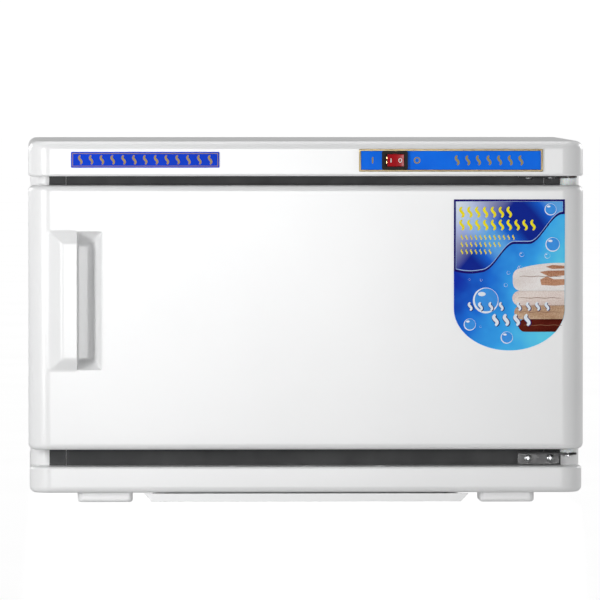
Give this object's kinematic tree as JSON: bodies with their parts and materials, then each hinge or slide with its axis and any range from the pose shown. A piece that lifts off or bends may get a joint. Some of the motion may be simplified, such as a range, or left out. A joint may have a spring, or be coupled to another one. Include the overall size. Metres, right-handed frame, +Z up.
{
  "type": "hot towel cabinet",
  "caption": "Counter-top heated cabinet for rolled towels: insulated box, side-hung door with a moulded grip, wire shelf, water tray, rocker switch and drip tray.",
  "frame": {"origin": "middle of the width and of the overall depth, on the surface that the feet stand on", "axes": "+X to the right seen from the front, -Y out of the door, +Z up"},
  "size_m": [0.45, 0.344, 0.293],
  "materials": {
    "white_plastic": "glossy white moulded plastic",
    "white_steel": "white powder-coated sheet steel",
    "frame_paint": "satin dark grey paint",
    "black_steel": "black painted steel",
    "liner_aluminium": "bright aluminium sheet",
    "tray_aluminium": "satin aluminium",
    "shelf_chrome": "chrome-plated wire",
    "zinc_screws": "zinc-plated steel",
    "foam": "glass-fibre wool board",
    "mica": "mica and silicone heating mat",
    "spreader": "mill-finish aluminium",
    "bakelite": "phenolic plastic",
    "ceramic_body": "steatite ceramic",
    "block_nylon": "ivory nylon",
    "brass_parts": "bright brass",
    "wire_cover": "red silicone insulation",
    "gland_plastic": "black nylon",
    "name_blue": "blue printed foil with a thin gold line",
    "panel_blue": "bright blue printed foil",
    "trim_gold": "gold-coloured frame",
    "switch_black": "black nylon with a fine texture",
    "rocker_red": "translucent red, lit from behind when on",
    "lamp_glass": "small neon lamp",
    "bush_nylon": "natural nylon",
    "label_print": "printed foil: blue field, navy edge, towels, bubbles and steam marks",
    "seal_rubber": "dark grey soft silicone",
    "magnet_dark": "ferrite magnet"
  },
  "bodies": {
    "cabinet": {"base_pan": "white_plastic", "feet": "white_plastic", "foot_screws": "zinc_screws", "tray_guides": "white_plastic", "side_panels": "white_steel", "back_panel": "white_steel", "back_panel_screws": "zinc_screws", "cord_gland": "gland_plastic", "front_frame": "frame_paint", "frame_side_trims": "frame_paint", "chamber_liner": "liner_aluminium", "shelf_rails": "liner_aluminium", "rail_rivets": "liner_aluminium", "insulation_sides": "foam", "insulation_top": "foam", "insulation_bottom": "foam", "insulation_back": "foam", "heater_element": "mica", "heater_cover_plate": "spreader", "heater_screws": "zinc_screws", "thermostat": "ceramic_body", "thermal_cutout": "bakelite", "terminal_block": "block_nylon", "earth_stud": "brass_parts", "wiring": "wire_cover", "top_cover": "white_plastic", "cover_screws": "zinc_screws", "base_screws": "zinc_screws", "name_plate": "name_blue", "panel_plate": "panel_blue", "panel_trim": "trim_gold", "switch_housing": "switch_black", "switch_terminals": "brass_parts", "switch_lamp": "lamp_glass", "upper_hinge_bracket": "black_steel", "lower_hinge_bracket": "black_steel", "hinge_pins": "zinc_screws", "hinge_screws": "zinc_screws", "strike_plates": "zinc_screws"},
    "door": {"door_shell": "white_plastic", "door_inner_panel": "white_plastic", "door_liner_plate": "liner_aluminium", "door_insulation": "foam", "door_gasket": "seal_rubber", "door_magnets": "magnet_dark", "door_label": "label_print", "door_panel_screws": "zinc_screws", "hinge_bushes": "bush_nylon"},
    "rocker": {"switch_rocker": "rocker_red"},
    "drip_tray": {"drip_tray": "white_plastic"},
    "shelf": {"wire_shelf": "shelf_chrome"},
    "water_tray": {"water_tray": "tray_aluminium"}
  },
  "joints": [
    {"name": "door_swing", "type": "hinge", "parent": "cabinet", "child": "door", "pos_m": [0.213, -0.148, 0.15], "axis": [0, 0, 1], "range_deg": [0, 110]},
    {"name": "switch_rocker_tilt", "type": "hinge", "parent": "cabinet", "child": "rocker", "pos_m": [0.0715, -0.1616, 0.2773], "axis": [0, 0, 1], "range_deg": [-20, 0]},
    {"name": "drip_tray_slide", "type": "slide", "parent": "cabinet", "child": "drip_tray", "axis": [0, -1, 0], "range_m": [0, 0.08]},
    {"name": "wire_shelf_slide", "type": "slide", "parent": "cabinet", "child": "shelf", "axis": [0, -1, 0], "range_m": [0, 0.045]},
    {"name": "water_tray_slide", "type": "slide", "parent": "cabinet", "child": "water_tray", "axis": [0, -1, 0], "range_m": [0, 0.012]}
  ]
}
